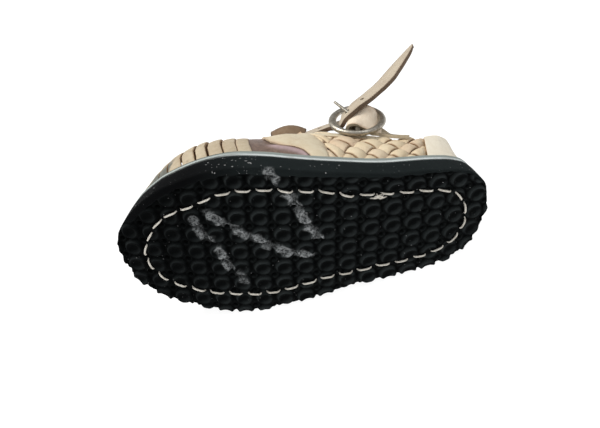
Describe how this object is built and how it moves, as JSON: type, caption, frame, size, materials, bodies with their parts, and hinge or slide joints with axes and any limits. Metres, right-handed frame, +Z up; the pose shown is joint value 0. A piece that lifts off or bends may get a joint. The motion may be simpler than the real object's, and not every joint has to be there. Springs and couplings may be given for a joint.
{
  "type": "child's woven leather sandal",
  "caption": "Small child's closed-toe woven leather sandal with a studded rubber sole and a buckled ankle strap, lying on its inner side.",
  "frame": {"origin": "middle of the bounding box at the floor that the shoe lies on", "axes": "-X towards the toe, +Z up from the floor with the shoe's outer side uppermost, +Y towards the top of the shoe and the foot's opening, so the tread faces -Y"},
  "size_m": [0.128, 0.068, 0.0638],
  "materials": {
    "outsole": "matt black moulded rubber, dusty",
    "midsole": "matt pale grey foam",
    "insole": "smooth tan leather",
    "upper": "natural tan leather strips, one purple-brown panel",
    "ankle_strap": "greyish tan leather with dark edges",
    "buckle_chape": "pale natural leather",
    "buckle_frame": "dull nickel plate",
    "buckle_prong": "dull nickel plate"
  },
  "bodies": {
    "root": {"outsole": "outsole", "midsole": "midsole", "insole": "insole", "upper": "upper", "ankle_strap": "ankle_strap", "buckle_chape": "buckle_chape", "buckle_frame": "buckle_frame", "buckle_prong": "buckle_prong"}
  },
  "joints": []
}
